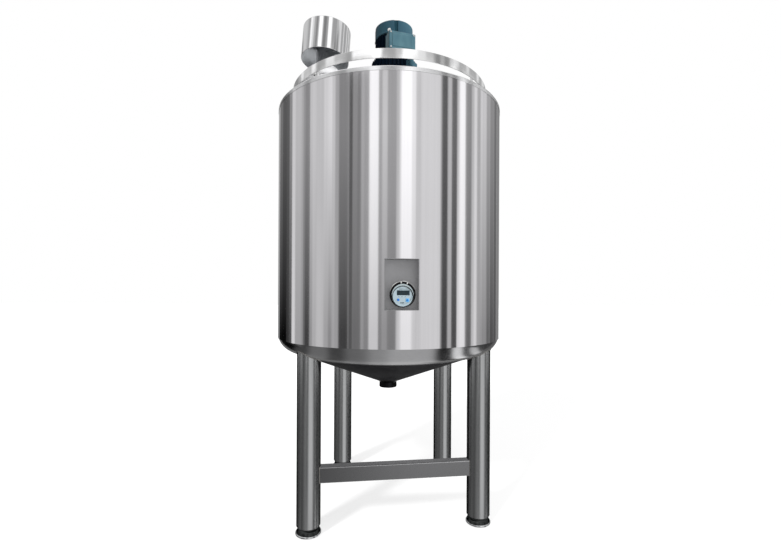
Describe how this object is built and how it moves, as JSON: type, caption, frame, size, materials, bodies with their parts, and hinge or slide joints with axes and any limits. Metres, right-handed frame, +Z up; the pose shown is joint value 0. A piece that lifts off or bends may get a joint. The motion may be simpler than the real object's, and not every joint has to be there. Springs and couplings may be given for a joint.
{
  "type": "vertical insulated storage tank",
  "caption": "Upright insulated steel tank on tubular legs, with a cone bottom and outlet, a roof motor, a hooded vent, a guard ring and a recessed thermometer.",
  "frame": {"origin": "on the floor, under the tank's axis", "axes": "+Z up, the front with the thermometer faces -Y, +X to the right as seen from the front"},
  "size_m": [1.202, 1.202, 2.626],
  "materials": {
    "polished_steel": "polished stainless steel sheet",
    "satin_steel": "satin stainless steel",
    "dark_steel": "dark satin steel",
    "motor_paint": "dark teal machine enamel",
    "dial_plate": "pale printed dial plate"
  },
  "bodies": {
    "root": {"vessel_wall": "satin_steel", "vessel_bottom": "satin_steel", "vessel_spigot": "satin_steel", "cladding_front": "polished_steel", "cladding_front_right": "polished_steel", "cladding_right": "polished_steel", "cladding_back_right": "polished_steel", "cladding_back": "polished_steel", "cladding_back_left": "polished_steel", "cladding_left": "polished_steel", "cladding_front_left": "polished_steel", "bottom_knuckle": "satin_steel", "bottom_cone": "satin_steel", "top_trim_ring": "polished_steel", "roof": "satin_steel", "guard_ring": "polished_steel", "leg_front_left": "satin_steel", "leg_front_right": "satin_steel", "leg_back_right": "satin_steel", "leg_back_left": "satin_steel", "foot_front_left": "dark_steel", "foot_front_right": "dark_steel", "foot_back_right": "dark_steel", "foot_back_left": "dark_steel", "crossbar": "satin_steel", "outlet_pipe": "dark_steel", "outlet_collar": "dark_steel", "thermometer_pocket": "satin_steel", "thermometer_stem": "satin_steel", "thermometer_case": "dark_steel", "thermometer_bezel": "satin_steel", "thermometer_face": "dial_plate", "drive_pad": "satin_steel", "gear_unit": "motor_paint", "motor_flange": "motor_paint", "motor_end_shield": "motor_paint", "motor_frame": "motor_paint", "fan_cowl": "motor_paint", "terminal_box": "motor_paint", "terminal_box_lid": "motor_paint", "cable_gland": "motor_paint", "vent_neck": "satin_steel", "vent_lid": "satin_steel", "vent_pipe": "satin_steel", "vent_hood": "polished_steel"}
  },
  "joints": []
}
